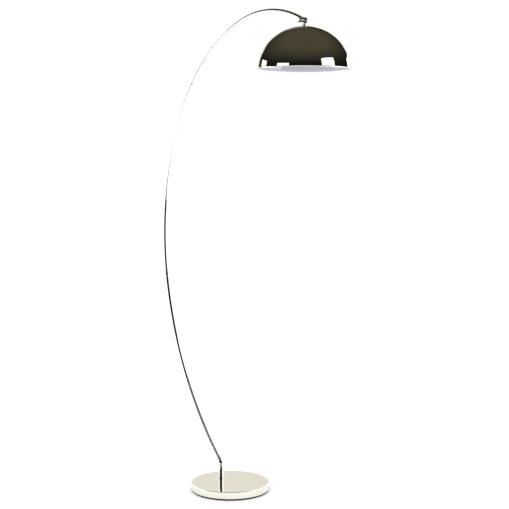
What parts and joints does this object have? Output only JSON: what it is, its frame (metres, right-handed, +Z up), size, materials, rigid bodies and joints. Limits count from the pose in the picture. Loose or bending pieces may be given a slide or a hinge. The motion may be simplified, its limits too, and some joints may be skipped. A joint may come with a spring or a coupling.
{
  "type": "arc floor lamp",
  "caption": "Arc floor lamp: heavy round base, short stem, bent three-section tube arm and a tilting polished dome shade with a wing-nut joint.",
  "frame": {"origin": "on the floor, at the centre of the round base's underside", "axes": "+Z up; +X from the stem towards the shade, in the arm's plane; +Y across the arm"},
  "size_m": [1.0836, 0.322, 1.8138],
  "materials": {
    "polished_nickel": "mirror-polished warm nickel plate",
    "shade_steel": "mirror-polished nickel outside, gloss white enamel inside",
    "cast_iron": "rough, dark primer",
    "black_moulding": "fine satin grain",
    "pad_rubber": "matt",
    "zinc_steel": "bright zinc plate",
    "flex_sheath": "smooth sheath",
    "fibre": "vulcanised fibre",
    "holder_moulding": "moulded, semi-gloss",
    "holder_ceramic": "glazed",
    "contact_brass": "bright",
    "bulb_cap_metal": "bright rolled thread",
    "bulb_opal": "opal glass"
  },
  "bodies": {
    "stand": {"base_cover": "polished_nickel", "stem_foot_ring": "polished_nickel", "stem_tube": "polished_nickel", "stem_spacer_ring": "polished_nickel", "elbow": "polished_nickel", "lower_tube": "polished_nickel", "joint_collar": "polished_nickel", "middle_tube": "polished_nickel", "mouth_ferrule": "polished_nickel", "upper_tube": "polished_nickel", "arm_knuckle": "polished_nickel", "pivot_bolt": "polished_nickel", "clamp_washer": "polished_nickel", "base_weight": "cast_iron", "base_plate": "black_moulding", "floor_pad": "pad_rubber", "cable_grommet": "pad_rubber", "base_plate_screws": "zinc_steel", "weight_washer": "zinc_steel", "weight_nut": "zinc_steel", "stem_nipple": "zinc_steel", "stem_foot_bush": "zinc_steel", "stem_top_bush": "zinc_steel", "elbow_nipple": "zinc_steel", "stand_flex": "flex_sheath", "friction_washer": "fibre"},
    "head": {"head_knuckle": "polished_nickel", "shade": "shade_steel", "shade_cap": "polished_nickel", "shade_washer": "zinc_steel", "shade_nut": "zinc_steel", "holder_cap": "holder_moulding", "holder_insert": "holder_ceramic", "holder_body": "holder_moulding", "screw_shell": "contact_brass", "centre_contact": "contact_brass", "bulb_cap": "bulb_cap_metal", "bulb_glass": "bulb_opal", "head_flex": "flex_sheath"},
    "wing_nut": {"wing_nut": "polished_nickel"}
  },
  "joints": [
    {"name": "shade_tilt", "type": "hinge", "parent": "stand", "child": "head", "pos_m": [0.4484, 0, 1.756], "axis": [0, 1, 0], "range_deg": [-60, 38]},
    {"name": "wing_nut_turn", "type": "hinge", "parent": "stand", "child": "wing_nut", "pos_m": [0.4484, 0, 1.756], "axis": [0, 1, 0], "range_deg": [0, 360]}
  ]
}
